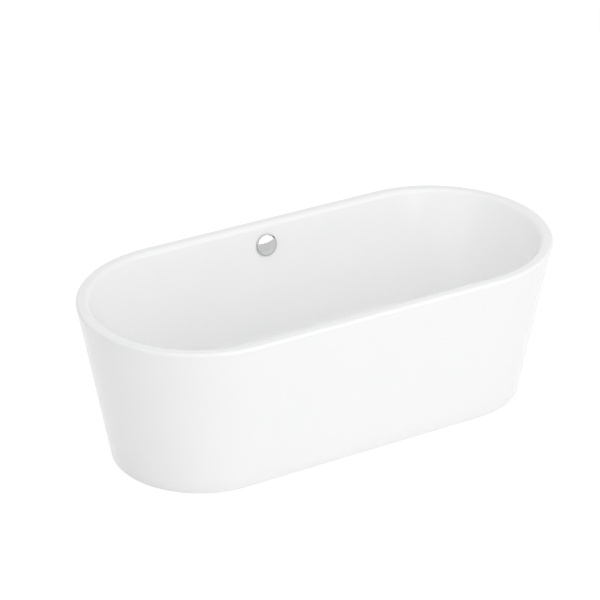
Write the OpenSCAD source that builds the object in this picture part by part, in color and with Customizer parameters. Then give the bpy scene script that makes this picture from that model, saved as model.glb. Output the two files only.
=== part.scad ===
// Freestanding double-ended bath with straight, rounded ends, in millimetres.
// Origin on the floor under the middle of the bath, X along its length, Z up.
// The overflow is on the inner wall at +Y and the waste is in the middle of the floor.

/* [Bath outline] */
// Length over the rim
bath_l = 1700; // [1500:10:1800]
// Width over the rim
bath_w = 800; // [780:10:860]
// Height of the rim above the floor of the room
bath_h = 565; // [550:5:620]
// How far the foot of the outer wall lies inside the rim
base_inset = 95; // [80:1:100]

/* [Rim and walls] */
// Wall of the inner tub, acrylic with its glass-fibre backing
shell_t = 5; // [4:0.5:6]
// Wall of the outer skirt
skirt_t = 4; // [3:0.5:5]
// Radius of the rim's outer edge
rim_out_r = 10; // [8:0.5:12]
// Radius of the rim's inner edge
rim_in_r = 18; // [14:1:20]
// Width from the outside of the rim to where its inner edge starts to round
rim_flat = 26; // [24:1:30]
// Height of the rim's turned-down edge, which stands on the skirt
rim_drop = 14; // [13:0.5:18]
// Slope of the inner side walls from vertical, in degrees
side_slope = 10; // [9:0.5:11]
// Slope of the inner back rests from vertical, in degrees
back_slope = 22; // [18:1:26]

/* [Tub floor] */
// Height of the tub's floor above the floor of the room
floor_h = 138; // [136:1:145]
// How far the floor falls to the waste
floor_fall = 4; // [2:0.5:5]
// Radius of the shallow dish that leads to the waste
dish_r = 190; // [120:5:200]
// Half the straight part of the floor's outline
floor_run = 300; // [200:10:320]
// Radius between floor and side wall
side_cove_r = 62; // [50:1:70]
// Radius between floor and back rest
back_cove_r = 140; // [100:5:160]

/* [Skirt foot] */
// Gap between the skirt and the floor of the room
skirt_gap = 2; // [1:0.5:4]
// Width of the flange turned in at the foot of the skirt
skirt_flange = 22; // [15:1:26]

/* [Rim batten] */
// Width of the timber batten under the rim
batten_w = 14; // [10:1:14]
// Depth of the batten
batten_d = 18; // [12:1:20]

/* [Base board and frame] */
// How far each end of the base board reaches past the straight part of the bath
board_over = 0; // [-20:5:20]
// Width of the base board
board_w = 400; // [380:10:410]
// Thickness of the base board
board_t = 16; // [15:1:19]
// Corner radius of the base board
board_r = 80; // [60:5:90]
// Radius of the board's hole round the waste
board_hole_r = 60; // [56:1:66]
// Side of the square steel tube
tube_a = 25; // [24:1:28]
// Wall of the square steel tube
tube_t = 2; // [1.5:0.5:2.5]
// How far each long rail lies in from the board's edge
rail_in = 50; // [40:5:60]
// How far each cross bar lies in from the board's end
bar_in = 50; // [45:5:70]
// How far the ends of the cross bars lie inside the rim's outside
bar_end_in = 135; // [120:5:140]
// Length of the blocks that bond the skirt to the cross bars
block_l = 60; // [40:5:80]
// Shank radius of the bolts that join rails and cross bars
bolt_r = 3; // [2.5:0.5:4]
// Shank radius of the screws that hold the board
screw_r = 2.4; // [2:0.2:3]
// Length of the board screws in the board
screw_bite = 13; // [10:1:14]

/* [Feet] */
// How far each foot lies inside the rim's outside
foot_in = 170; // [160:5:190]
// Radius of the threaded stud
stud_r = 6; // [5:0.5:6]
// Height of a nut on the stud
nut_h = 10; // [8:1:10]
// Radius of a foot's pad
pad_r = 25; // [20:1:30]
// Height of a foot's pad
pad_h = 16; // [14:1:18]

/* [Overflow] */
// Distance of overflow, waste and trap from the middle, along the bath
fitting_x = -11; // [-20:1:20]
// Depth of the overflow's centre below the rim
overflow_drop = 75; // [70:1:90]
// Radius of the overflow hole in the wall
overflow_hole_r = 25; // [24:0.5:25]
// Radius of the turning knob that covers the overflow
knob_r = 39; // [36:1:42]
// Height of the knob's face above the wall
knob_h = 11; // [11:0.5:14]
// Radius of the knob's domed face
knob_dome_r = 160; // [140:10:300]
// Radius of the knob's spindle
spindle_r = 4; // [3.5:0.5:4.5]
// Radius of the drum that pulls the cable
drum_r = 15; // [12:1:15]
// Distance from the back of the wall to the overflow pipe's axis
pipe_setback = 16.5; // [16:0.5:17]

/* [Waste] */
// Radius of the waste hole in the floor
waste_hole_r = 26; // [25.5:0.5:27]
// Radius of the chrome waste flange
waste_flange_r = 43; // [41:1:44]
// Depth of the recess that the waste flange lies in
waste_recess = 4; // [3.5:0.5:5]
// Radius of the plug's cap
plug_r = 36; // [34:1:38]
// Radius of the plug's stem
stem_r = 4; // [3.5:0.5:4.5]
// Length of the lifting lever from its pin to the stem
lever_arm = 20; // [18:1:20]
// Angle of the lifting lever either side of level, in degrees
lever_tilt = 13.5; // [10:0.5:14]

/* [Pipes and trap] */
// Outer radius of the overflow pipe
pipe_r = 12; // [11:0.5:12]
// Bore radius of the overflow pipe
pipe_bore_r = 9.5; // [8:0.5:10]
// Height of the overflow pipe's level run above the floor of the room
pipe_run_h = 66; // [64:1:70]
// Bend radius of the overflow pipe
pipe_bend_r = 50; // [40:5:60]
// Radius of the cable's sleeve
sleeve_r = 2.5; // [2:0.5:3]
// Bend radius of the cable's sleeve
sleeve_bend_r = 50; // [40:5:60]
// Outer radius of the drain pipes
drain_r = 20; // [19:0.5:20]
// Bore radius of the drain pipes
drain_bore_r = 17.5; // [15:0.5:17.5]
// Height of the drain pipes' axis above the floor of the room
drain_h = 76; // [74:1:80]
// Distance of the trap's axis from the waste
trap_x = 112; // [108:1:130]
// Outer radius of the trap
trap_r = 40; // [36:1:42]
// Distance of the outlet pipe's upright end from the waste
outlet_x = 250; // [245:5:290]
// Bend radius of the outlet pipe
outlet_bend_r = 35; // [30:1:40]
// Height of the outlet pipe's end above the floor of the room
outlet_foot = 8; // [6:1:20]

/* [Hidden] */
$fn = 64;

// Steps along the rounded stretches of the tub's profile
out_steps = 5;
rim_steps = 5;
wall_steps = 4;
cove_steps = 6;
under_steps = 3;
under_cove_steps = 5;
// Steps round each rounded end
end_steps = 28;
// Steps round the bend of the overflow pipe and of the cable, and sides of each
bend_steps = 10;
pipe_sides = 20;
sleeve_sides = 10;
// A cut goes this far past the face that it opens
over = 1;
// Radial clearance of a part that turns or slides
run_gap = 0.05;
// Radial clearance of a thread or of a screw in its hole
thread_gap = 0.1;
// Gap between a moving part and its seat at rest
seat_gap = 0.3;
// Thickness of the adhesive or grease between faces that are bonded or pressed together
bond_gap = 0.05;

run = (bath_l - bath_w) / 2;
wall_slope = atan((base_inset - rim_out_r) / (bath_h - rim_out_r))
    + asin(rim_out_r / norm([base_inset - rim_out_r, bath_h - rim_out_r]));
skirt_top = bath_h - rim_drop;
flange_t = skirt_t;
rim_in_z = bath_h - rim_in_r;
rim_under = bath_h - shell_t;

// The tub's floor from above and below
dish_h = floor_h - floor_fall;
under_h = dish_h - shell_t;
recess_h = dish_h - waste_recess;
boss_h = recess_h - shell_t;
boss_r = waste_flange_r + shell_t + 4;

// The frame follows the bath's outline and the board
board_l = 2 * (run + board_over);
rail_y = board_w / 2 - rail_in;
bar_x = board_l / 2 - bar_in;
bar_l = bath_w - 2 * bar_end_in;
foot_y = bath_w / 2 - foot_in;

// Heights of the frame below the board
board_h = under_h - board_t;
rail_h = board_h - tube_a;
bar_h = rail_h - tube_a;
weld_nut_h = bar_h - nut_h;
lock_nut_h = weld_nut_h - nut_h;
nut_af_r = stud_r * 1.8;
stud_foot = 6;
stud_top = bar_h + tube_a - tube_t - 2;
collar_h = pad_h + 4;
collar_t = 8;
screw_end = bar_x - 100;
screw_mid = board_hole_r + 50;
screw_xs = [-screw_end, -screw_mid, screw_mid, screw_end];
screw_head_r = screw_r * 2;
screw_head_t = 3.5;
bolt_head_r = bolt_r * 1.9;
bolt_head_t = 4;
bolt_nut_t = 5;

// Inset of the outer wall from the rim's outside at a height
function outer_inset(z) = base_inset - z * tan(wall_slope);
function skirt_in_y(z) = bath_w / 2 - outer_inset(z) - skirt_t;

// Inset of the inner side wall at a height
side_top_u = rim_flat + rim_in_r * cos(side_slope);
side_top_z = rim_in_z + rim_in_r * sin(side_slope);
function side_inset(z) = side_top_u + (side_top_z - z) * tan(side_slope);

// Where the overflow's axis meets the inner wall
overflow_z = bath_h - overflow_drop;
overflow_y = bath_w / 2 - side_inset(overflow_z);

// Depths behind the wall, along the overflow's axis
gasket_t = 3;
lug_t = 3;
housing_r = overflow_hole_r + 1;
lug_ring_r = housing_r + 10;
housing_t = 3;
housing_back = shell_t + 30;
spigot_l = 46;
pipe_axis = shell_t + pipe_setback;
port_x = 19;
port_r = sleeve_r + 1.5;
port_l = 34;
port_back = shell_t + 13;
port_hold = 8;
port_out = 10;
sleeve_h = pipe_run_h + pipe_r;
drum_t = 4;
drum_back = shell_t + 5;
bearing_r = spindle_r + 3;
bearing_top = drum_back + drum_t + seat_gap;

// In front of the wall
seal_t = 1.2;
plate_t = 2.2;
plate_r = overflow_hole_r + 4.5;
plate_in_r = overflow_hole_r - 7;
plate_hub_r = spindle_r + 3.5;
plate_hub_back = 6;
plate_face = seal_t + plate_t;
plate_screw_x = overflow_hole_r - 3.5;
plate_screw_r = 1.6;
knob_gap = 3;
knob_cup_r = knob_r - 6;
knob_wall = 1.6;
knob_boss_r = spindle_r + 3;
knob_cup_top = knob_h - knob_dome_r + sqrt(pow(knob_dome_r, 2) - pow(knob_cup_r, 2)) - knob_wall;

// Heights of the waste, from its seat in the recess
waste_seal_t = 1.5;
waste_seal_in_r = waste_hole_r + 0.5;
flange_under = recess_h + waste_seal_t;
hub_r = waste_hole_r - 1.5;
hub_wall = 3.5;
hub_foot = boss_h - 17;
low_gasket_t = 3;
waste_top = boss_h - low_gasket_t;
waste_top_t = 4;
waste_top_r = waste_flange_r - 1;
waste_cup_r = 36;
waste_cup_t = 4;
waste_foot = 48;
neck_r = hub_r + 4.5;
inlet_y = 62;
spider_t = 3;
spider_hub_r = stem_r + 3;
spider_hub_h = 12;

// The plug closed: its seal lies just above the flange
plug_seal_t = 2.3;
plug_under = dish_h + seat_gap + plug_seal_t;
plug_edge_t = 2;
plug_dome_t = 3;
plug_dome_r = (pow(plug_r, 2) + pow(plug_dome_t, 2)) / (2 * plug_dome_t);
lever_h = 86;
lever_nose_r = 3;
lever_w = 11;
lever_pin_r = 2;
lever_tail = 7;
lug_y = lever_w / 2 + seat_gap;
lug_w = 3;
lug_r = 6;
stem_foot = lever_h - lever_arm * sin(lever_tilt) + lever_nose_r + seat_gap;

// The trap and its joints
trap_t = 3;
trap_top = 106;
trap_foot = 12;
cup_top = 50;
baffle_foot = 22;
pipe_nut_l = 20;
pipe_nut_wall = 1.6;
drain_nut_wall = 4;
neck_step = 0.5;
waste_joint_x = waste_cup_r + 20;
trap_joint_x = trap_x + trap_r + 22;

// ---- Helpers ----

// Sweeps a profile of radius and height round the bath's outline: two half turns and two straights
module around(half_run) {
    for (side = [-1, 1]) {
        translate([side * half_run, 0, 0])
            rotate([0, 0, -90 * side])
                rotate_extrude(angle = 180, $fn = 128)
                    children();
    }
    for (side = [0, 1]) {
        mirror([0, side, 0])
            rotate([90, 0, 90])
                translate([0, 0, -half_run])
                    linear_extrude(2 * half_run)
                        children();
    }
}

// A straight tube along Z
module tube(outer, bore, length) {
    linear_extrude(length)
        difference() {
            circle(outer);
            circle(bore);
        }
}

// Puts children on the overflow: Z out of the wall into the bath, Y up the wall
module on_wall() {
    translate([fitting_x, overflow_y, overflow_z])
        rotate([90 - side_slope, 0, 0])
            children();
}

// Puts children on the waste's axis
module at_waste() {
    translate([fitting_x, 0, 0])
        children();
}

// A nut: a hexagon with a round bore
module hex_nut(radius, bore, height) {
    difference() {
        cylinder(r = radius, h = height, $fn = 6);
        translate([0, 0, -over])
            cylinder(r = bore, h = height + 2 * over);
    }
}

// Puts children at each of the four feet
module at_feet() {
    for (x = [-bar_x, bar_x], y = [-foot_y, foot_y])
        translate([x, y, 0])
            children();
}

// Puts children at the crossings of rails and cross bars
module at_crossings() {
    for (x = [-bar_x, bar_x], y = [-rail_y, rail_y])
        translate([x, y, 0])
            children();
}

// Puts children at the screws that hold the board to the rail at y
module at_screws(y) {
    for (x = screw_xs)
        translate([x, y, 0])
            children();
}

// ---- The tub's form ----

// Points of an arc in the profile plane: u is the inset from the rim's outside, z the height
function arc(u, z, r, from, to, steps, first = 0) =
    [for (i = [first:steps]) let (a = from + (to - from) * i / steps) [u + r * cos(a), z + r * sin(a)]];

// Profile of one side of the bowl, from the top of the rim's inner edge down to the floor
function bowl_profile(edge_r, slope, cove, level, edge_n, cove_n) =
    let (
        top_u = rim_flat + edge_r * cos(slope),
        top_z = rim_in_z + edge_r * sin(slope),
        foot_z = level + cove * (1 - sin(slope)),
        foot_u = top_u + (top_z - foot_z) * tan(slope),
        cove_u = foot_u + cove * cos(slope)
    )
    concat(
        arc(rim_flat, rim_in_z, edge_r, 90, slope, edge_n),
        [for (i = [1:wall_steps]) let (t = i / wall_steps)
            [top_u + (foot_u - top_u) * t, top_z + (foot_z - top_z) * t]],
        arc(cove_u, level + cove, cove, 180 + slope, 270, cove_n, 1)
    );

// One closed ring of the tub: straight sides at the side profile's point, elliptical ends to the end's
function ring(side, end, half_run) =
    [for (turn = [0, 180]) for (i = [0:end_steps])
        let (
            a = turn - 90 + 180 * i / end_steps,
            away = turn == 0 ? 1 : -1,
            reach = bath_l / 2 - end[0] - half_run
        )
        [
            away * half_run + reach * cos(a),
            (bath_w / 2 - side[0]) * sin(a),
            side[1] * pow(sin(a), 2) + end[1] * pow(cos(a), 2)
        ]];

// The ends of the bowl take over more of its length towards the floor
function run_at(z) = run - (run - floor_run) * min(1, max(0, (rim_in_z - z) / (rim_in_z - floor_h)));

// Rings of one surface of the bowl, from rim to floor
function bowl_rings(edge_r, grow, level, edge_n, cove_n) =
    let (
        side = bowl_profile(edge_r, side_slope, side_cove_r + grow, level, edge_n, cove_n),
        end = bowl_profile(edge_r, back_slope, back_cove_r + grow, level, edge_n, cove_n)
    )
    [for (i = [0:len(side) - 1]) ring(side[i], end[i], run_at(side[i][1]))];

// Rings round the outside of the rim, from its top to the inside of its turned-down edge
function lip_rings() =
    let (
        foot = outer_inset(skirt_top),
        points = concat(
            arc(rim_out_r, bath_h - rim_out_r, rim_out_r, 90, 180, out_steps),
            arc(rim_out_r, bath_h - rim_out_r, rim_out_r, 180, 180 + wall_slope, 1, 1),
            [[foot, skirt_top], [foot + skirt_t, skirt_top], [foot + skirt_t, rim_under]]
        )
    )
    [for (p = points) ring(p, p, run)];

function backwards(list) = [for (i = [len(list) - 1:-1:0]) list[i]];

// A closed skin through rings that all have the same number of points.
// A looped skin joins its last ring to its first, as the wall of an open tube does.
module skin(rings, looped = false) {
    count = len(rings[0]);
    last = len(rings) - 1;
    points = [for (r = rings) for (p = r) p];
    sides = [for (k = [0:looped ? last : last - 1]) for (i = [0:count - 1])
        let (j = (i + 1) % count, next = (k + 1) % (last + 1))
        [k * count + i, k * count + j, next * count + j, next * count + i]];
    top = [for (i = [count - 1:-1:0]) i];
    bottom = [for (i = [0:count - 1]) last * count + i];
    polyhedron(points, looped ? sides : concat([top], sides, [bottom]), convexity = 8);
}

// Stations [y, z, turn] of a line that runs down behind the inner wall, bends, and runs level to end_y
function wall_path(axis_back, start, end_y, level, bend) =
    let (
        start_y = overflow_y - start * sin(side_slope) + axis_back * cos(side_slope),
        start_z = overflow_z - start * cos(side_slope) - axis_back * sin(side_slope),
        bend_z = level + bend * (1 - sin(side_slope)),
        bend_y = start_y - (start_z - bend_z) * tan(side_slope),
        centre_y = bend_y - bend * cos(side_slope)
    )
    concat(
        [[start_y, start_z, -side_slope]],
        [for (i = [0:bend_steps]) let (b = -side_slope - (90 - side_slope) * i / bend_steps)
            [centre_y + bend * cos(b), level + bend + bend * sin(b), b]],
        [[end_y, level, -90]]
    );

// Rings of radius r square to that line, in the plane at x
function path_rings(path, x, r, count) =
    [for (p = path) [for (i = [0:count - 1]) let (t = 360 * i / count)
        [x - r * sin(t), p[0] + r * cos(t) * cos(p[2]), p[1] + r * cos(t) * sin(p[2])]]];

// ---- Shell ----

// Inner tub with its rim, formed from one sheet and backed with glass fibre
module tub_shell() {
    inside = bowl_rings(rim_in_r, 0, floor_h, rim_steps, cove_steps);
    outside = bowl_rings(rim_in_r - shell_t, shell_t, under_h, under_steps, under_cove_steps);
    color("white")
        difference() {
            union() {
                skin(concat(backwards(inside), lip_rings(), outside));
                at_waste()
                    translate([0, 0, boss_h])
                        cylinder(r = boss_r, h = dish_h - boss_h - 1);
            }
            at_waste() {
                translate([0, 0, dish_h])
                    cylinder(r1 = waste_flange_r + 2, r2 = dish_r, h = floor_fall);
                translate([0, 0, floor_h])
                    cylinder(r = dish_r, h = over);
                translate([0, 0, recess_h])
                    cylinder(r = waste_flange_r + 1, h = floor_fall + waste_recess);
                translate([0, 0, boss_h - over])
                    cylinder(r = waste_hole_r, h = shell_t + 2 * over);
            }
            on_wall()
                translate([0, 0, -shell_t * 3])
                    cylinder(r = overflow_hole_r, h = shell_t * 6);
        }
}

// Outer skirt, with a flange turned in at its foot
module outer_skirt() {
    base = bath_w / 2;
    foot = skirt_gap + flange_t;
    color("white")
        around(run)
            polygon([
                [base - outer_inset(skirt_gap), skirt_gap],
                [base - outer_inset(skirt_top), skirt_top],
                [skirt_in_y(skirt_top), skirt_top],
                [skirt_in_y(foot), foot],
                [base - outer_inset(skirt_gap) - skirt_flange, foot],
                [base - outer_inset(skirt_gap) - skirt_flange, skirt_gap],
            ]);
}

// Timber batten glued under the rim
module rim_batten() {
    color("burlywood")
        around(run)
            translate([bath_w / 2 - rim_flat, rim_under - batten_d])
                square([batten_w, batten_d]);
}

// ---- Base board and frame ----

// Board laminated under the floor
module base_board() {
    color("burlywood")
        difference() {
            translate([0, 0, board_h])
                union() {
                    translate([0, 0, board_t / 2]) {
                        cube([board_l - 2 * board_r, board_w, board_t], center = true);
                        cube([board_l, board_w - 2 * board_r, board_t], center = true);
                    }
                    for (x = [-1, 1], y = [-1, 1])
                        translate([x * (board_l / 2 - board_r), y * (board_w / 2 - board_r), 0])
                            cylinder(r = board_r, h = board_t);
                }
            at_waste()
                translate([0, 0, board_h - over])
                    cylinder(r = board_hole_r, h = board_t + 2 * over);
            for (y = [-rail_y, rail_y])
                at_screws(y)
                    translate([0, 0, board_h - over])
                        cylinder(r = screw_r + thread_gap, h = screw_bite + 1.5 * over);
        }
}

// Square steel tube under the board, along the bath
module long_rail(y) {
    color("dimgray")
        difference() {
            translate([-board_l / 2, y - tube_a / 2, rail_h])
                difference() {
                    cube([board_l, tube_a, tube_a]);
                    translate([-over, tube_t, tube_t])
                        cube([board_l + 2 * over, tube_a - 2 * tube_t, tube_a - 2 * tube_t]);
                }
            at_screws(y) {
                translate([0, 0, board_h - tube_t - over])
                    cylinder(r = screw_r + thread_gap, h = tube_t + 2 * over);
                translate([0, 0, rail_h - over])
                    cylinder(r = screw_head_r + over, h = tube_t + 2 * over);
            }
            at_crossings()
                translate([0, 0, rail_h - over])
                    cylinder(r = bolt_r + thread_gap, h = tube_t + 2 * over);
        }
}

module rail_front() {
    long_rail(-rail_y);
}

module rail_back() {
    long_rail(rail_y);
}

// Square steel tube across the bath, which carries two feet
module cross_bar(x) {
    color("dimgray")
        difference() {
            translate([x - tube_a / 2, -bar_l / 2, bar_h])
                difference() {
                    cube([tube_a, bar_l, tube_a]);
                    translate([tube_t, -over, tube_t])
                        cube([tube_a - 2 * tube_t, bar_l + 2 * over, tube_a - 2 * tube_t]);
                }
            at_feet()
                translate([0, 0, bar_h - over])
                    cylinder(r = stud_r + thread_gap, h = tube_t + 2 * over);
            at_crossings()
                translate([0, 0, bar_h - over])
                    cylinder(r = bolt_r + thread_gap, h = tube_a + 2 * over);
        }
}

module cross_bar_left() {
    cross_bar(-bar_x);
}

module cross_bar_right() {
    cross_bar(bar_x);
}

// Bolts up through the cross bars into the rails
module frame_bolts() {
    color("silver")
        at_crossings()
            translate([0, 0, bar_h]) {
                translate([0, 0, -bolt_head_t])
                    cylinder(r = bolt_head_r, h = bolt_head_t, $fn = 6);
                cylinder(r = bolt_r, h = tube_a + tube_t + bolt_nut_t);
            }
}

// Nuts on those bolts, inside the rails
module frame_nuts() {
    color("silver")
        at_crossings()
            translate([0, 0, rail_h + tube_t])
                hex_nut(bolt_head_r, bolt_r + run_gap, bolt_nut_t);
}

// Screws from inside the rails up into the board
module board_screws() {
    color("silver")
        for (y = [-rail_y, rail_y])
            at_screws(y)
                translate([0, 0, board_h - tube_t - screw_head_t]) {
                    cylinder(r = screw_head_r, h = screw_head_t);
                    cylinder(r = screw_r, h = screw_head_t + tube_t + screw_bite);
                }
}

// Blocks that bond the ends of the cross bars to the skirt
module skirt_blocks() {
    top = bar_h + tube_a;
    color("burlywood")
        for (x = [-bar_x, bar_x], side = [0, 1])
            mirror([0, side, 0])
                translate([x - block_l / 2, 0, 0])
                    rotate([90, 0, 90])
                        linear_extrude(block_l)
                            polygon([
                                [bar_l / 2, bar_h],
                                [skirt_in_y(bar_h) - bond_gap, bar_h],
                                [skirt_in_y(top) - bond_gap, top],
                                [bar_l / 2, top],
                            ]);
}

// ---- Feet ----

// Nuts welded under the cross bars
module weld_nuts() {
    color("silver")
        at_feet()
            translate([0, 0, weld_nut_h])
                hex_nut(nut_af_r, stud_r + run_gap, nut_h);
}

// Nuts that lock the studs
module lock_nuts() {
    color("silver")
        at_feet()
            translate([0, 0, lock_nut_h])
                hex_nut(nut_af_r, stud_r + run_gap, nut_h);
}

// Round pad that stands on the floor, with a socket for its stud
module foot_pad(x, y) {
    hub_r = stud_r + 5;
    edge = 5;
    color("dimgray")
        translate([x, y, 0])
            rotate_extrude()
                polygon([
                    [0, 0], [pad_r - 1, 0], [pad_r, 1], [pad_r, edge], [hub_r, pad_h - 4], [hub_r, pad_h],
                    [stud_r + run_gap, pad_h], [stud_r + run_gap, stud_foot - 2 * run_gap],
                    [0, stud_foot - 2 * run_gap],
                ]);
}

// Threaded stud with a hexagon for the spanner
module foot_stud(x, y) {
    color("silver")
        translate([x, y, 0]) {
            translate([0, 0, stud_foot])
                cylinder(r = stud_r, h = stud_top - stud_foot);
            translate([0, 0, collar_h])
                cylinder(r = nut_af_r, h = collar_t, $fn = 6);
        }
}

module foot_pad_1() {
    foot_pad(-bar_x, -foot_y);
}

module foot_pad_2() {
    foot_pad(bar_x, -foot_y);
}

module foot_pad_3() {
    foot_pad(-bar_x, foot_y);
}

module foot_pad_4() {
    foot_pad(bar_x, foot_y);
}

module foot_stud_1() {
    foot_stud(-bar_x, -foot_y);
}

module foot_stud_2() {
    foot_stud(bar_x, -foot_y);
}

module foot_stud_3() {
    foot_stud(-bar_x, foot_y);
}

module foot_stud_4() {
    foot_stud(bar_x, foot_y);
}

// ---- Overflow ----

// Gasket behind the wall
module overflow_gasket() {
    color("dimgray")
        on_wall()
            translate([0, 0, -shell_t - gasket_t])
                tube(lug_ring_r, overflow_hole_r + 1, gasket_t - bond_gap);
}

// Housing behind the wall: it takes the overflow water and guides the spindle and the cable
module overflow_body() {
    front = -shell_t - gasket_t;
    back = -housing_back;
    color("gainsboro")
        on_wall()
            difference() {
                union() {
                    translate([0, 0, front - lug_t])
                        cylinder(r = lug_ring_r, h = lug_t);
                    translate([0, 0, back])
                        cylinder(r = housing_r, h = front - back);
                    translate([0, 0, -pipe_axis])
                        rotate([90, 0, 0])
                            cylinder(r = pipe_r, h = spigot_l);
                    translate([port_x, 0, -port_back])
                        rotate([90, 0, 0])
                            cylinder(r = port_r, h = port_l);
                }
                difference() {
                    translate([0, 0, back + housing_t])
                        cylinder(r = housing_r - housing_t, h = housing_back);
                    translate([0, 0, back])
                        cylinder(r = bearing_r, h = housing_back - bearing_top);
                    for (x = [-plate_screw_x, plate_screw_x])
                        translate([x, 0, front - 14])
                            cylinder(r = plate_screw_r + 2, h = 14);
                }
                translate([0, -bearing_r - 1, -pipe_axis])
                    rotate([90, 0, 0])
                        cylinder(r = pipe_bore_r, h = spigot_l);
                translate([port_x, -over, -port_back])
                    rotate([90, 0, 0])
                        cylinder(r = sleeve_r + run_gap, h = port_l);
                translate([0, 0, back + housing_t])
                    cylinder(r = spindle_r + run_gap, h = housing_back);
                for (x = [-plate_screw_x, plate_screw_x])
                    translate([x, 0, front - 12])
                        cylinder(r = plate_screw_r + thread_gap, h = 12 + over);
            }
}

// Thin seal between the wall and the fixing plate
module overflow_seal() {
    color("dimgray")
        on_wall()
            translate([0, 0, bond_gap])
                tube(plate_r, overflow_hole_r, seal_t - bond_gap);
}

// Fixing plate in front of the wall, with a spider that carries the spindle
module overflow_plate() {
    color("silver")
        on_wall()
            difference() {
                union() {
                    translate([0, 0, seal_t])
                        tube(plate_r, plate_in_r, plate_t);
                    for (a = [90, 210, 330])
                        rotate([0, 0, a])
                            translate([0, -1.5, seal_t])
                                cube([plate_in_r + 1, 3, plate_t]);
                    translate([0, 0, -plate_hub_back])
                        cylinder(r = plate_hub_r, h = plate_hub_back + plate_face);
                }
                translate([0, 0, -plate_hub_back - over])
                    cylinder(r = spindle_r + run_gap, h = plate_hub_back + plate_face + 2 * over);
                for (x = [-plate_screw_x, plate_screw_x])
                    translate([x, 0, seal_t - over])
                        cylinder(r = plate_screw_r + thread_gap, h = plate_t + 2 * over);
            }
}

// Two screws that draw the housing and the plate together
module overflow_screws() {
    shank = plate_face + shell_t + gasket_t + 10;
    color("silver")
        on_wall()
            for (x = [-plate_screw_x, plate_screw_x])
                translate([x, 0, plate_face]) {
                    cylinder(r = plate_screw_r * 1.9, h = 1.6);
                    translate([0, 0, -shank])
                        cylinder(r = plate_screw_r, h = shank);
                }
}

// Knob that covers the overflow and works the plug
module overflow_knob() {
    edge = 1.5;
    bevel = 2.5;
    color("silver")
        on_wall()
            difference() {
                intersection() {
                    union() {
                        translate([0, 0, knob_gap])
                            cylinder(r = knob_r, h = edge);
                        translate([0, 0, knob_gap + edge])
                            cylinder(r1 = knob_r, r2 = knob_r - bevel, h = bevel);
                        translate([0, 0, knob_gap + edge + bevel])
                            cylinder(r = knob_r - bevel, h = knob_h);
                    }
                    translate([0, 0, knob_h - knob_dome_r])
                        sphere(r = knob_dome_r, $fn = 256);
                }
                difference() {
                    translate([0, 0, knob_gap - over])
                        cylinder(r = knob_cup_r, h = knob_cup_top - knob_gap + over);
                    translate([0, 0, plate_face + seat_gap])
                        cylinder(r = knob_boss_r, h = knob_h);
                }
                cylinder(r = spindle_r, h = knob_cup_top + 1);
            }
}

// Spindle that the knob turns
module knob_spindle() {
    foot = -housing_back + housing_t + 1;
    color("silver")
        on_wall()
            translate([0, 0, foot])
                cylinder(r = spindle_r, h = knob_cup_top + 1 - foot);
}

// Drum on the spindle, with the groove that the cable's wire lies in
module cable_drum() {
    groove = 1;
    top = -drum_back;
    color("white")
        on_wall()
            difference() {
                rotate_extrude()
                    polygon([
                        [spindle_r, top], [drum_r, top], [drum_r, top - 1],
                        [drum_r - groove, top - drum_t / 2],
                        [drum_r, top - drum_t + 1], [drum_r, top - drum_t], [spindle_r, top - drum_t],
                    ]);
                translate([drum_r - 4, 0, top - drum_t - over])
                    cylinder(r = 1.2, h = drum_t + 2 * over);
            }
}

// Overflow pipe, behind the wall and under the floor
module overflow_pipe() {
    path = wall_path(pipe_axis, spigot_l + bond_gap, inlet_y + bond_gap, pipe_run_h, pipe_bend_r);
    color("gainsboro")
        skin(concat(path_rings(path, fitting_x, pipe_r, pipe_sides),
            backwards(path_rings(path, fitting_x, pipe_bore_r, pipe_sides))), looped = true);
}

// Slip nuts at both ends of the overflow pipe
module pipe_nuts() {
    half = pipe_nut_l / 2;
    color("white") {
        on_wall()
            translate([0, half - spigot_l, -pipe_axis])
                rotate([90, 0, 0])
                    tube(pipe_r + pipe_nut_wall, pipe_r + thread_gap, pipe_nut_l);
        at_waste()
            translate([0, inlet_y + half, pipe_run_h])
                rotate([90, 0, 0])
                    tube(pipe_r + pipe_nut_wall, pipe_r + thread_gap, pipe_nut_l);
    }
}

// Sleeve of the cable that joins the knob's drum to the lever under the plug
module cable_sleeve() {
    path = wall_path(port_back, port_l - port_hold, waste_cup_r + port_out - port_hold, sleeve_h,
        sleeve_bend_r);
    color("dimgray")
        skin(path_rings(path, fitting_x + port_x, sleeve_r, sleeve_sides));
}

// ---- Waste ----

// Chrome flange in the floor; its hub screws into the body, and its spider guides the stem
module waste_flange() {
    color("silver")
        at_waste()
            difference() {
                union() {
                    rotate_extrude()
                        polygon([
                            [hub_r - hub_wall, hub_foot], [hub_r, hub_foot], [hub_r, flange_under],
                            [waste_flange_r, flange_under], [waste_flange_r, dish_h - 0.8],
                            [waste_flange_r - 0.8, dish_h], [hub_r + 1, dish_h],
                            [hub_r - hub_wall, dish_h - 3],
                        ]);
                    for (a = [0, 120, 240])
                        rotate([0, 0, a])
                            translate([0, -1.5, hub_foot])
                                cube([hub_r - hub_wall + 0.5, 3, spider_t]);
                    translate([0, 0, hub_foot])
                        cylinder(r = spider_hub_r, h = spider_hub_h);
                }
                translate([0, 0, hub_foot - over])
                    cylinder(r = stem_r + run_gap, h = spider_hub_h + 2 * over);
            }
}

// Seal between flange and recess
module waste_gasket_top() {
    color("dimgray")
        at_waste()
            translate([0, 0, recess_h])
                tube(waste_flange_r - 1, waste_seal_in_r, waste_seal_t);
}

// Gasket between the tub's underside and the body
module waste_gasket_bottom() {
    color("dimgray")
        at_waste()
            translate([0, 0, waste_top])
                tube(waste_top_r - 1, waste_seal_in_r, low_gasket_t);
}

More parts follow.
